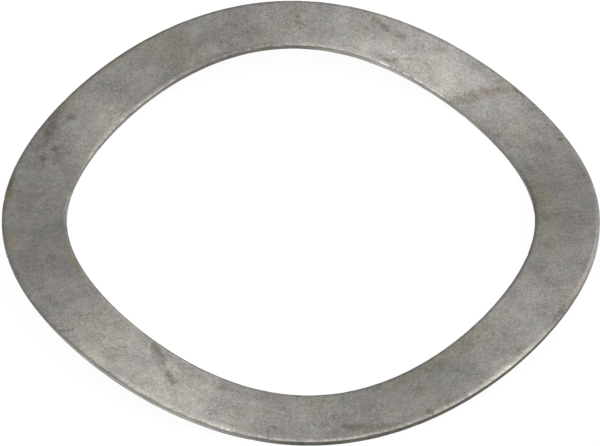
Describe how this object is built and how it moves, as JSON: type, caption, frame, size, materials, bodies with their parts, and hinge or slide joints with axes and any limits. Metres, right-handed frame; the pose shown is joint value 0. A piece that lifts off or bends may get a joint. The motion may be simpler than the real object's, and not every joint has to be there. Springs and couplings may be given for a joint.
{
  "type": "wave spring washer",
  "caption": "Thin flat spring-steel ring formed into even waves round its axis, a spring washer that preloads a bearing or takes up end play.",
  "frame": {"origin": "on the ring's axis, in the plane that the undersides of the troughs rest on", "axes": "+Z along the ring's axis, up through the crests; +Y towards the first crest; +X to the right of it, midway between a trough and a crest"},
  "size_m": [0.061, 0.061, 0.0038],
  "materials": {
    "spring_steel": "matte tumbled grey spring steel with faint mottling and handling stains"
  },
  "bodies": {
    "root": {"spring_ring": "spring_steel"}
  },
  "joints": []
}
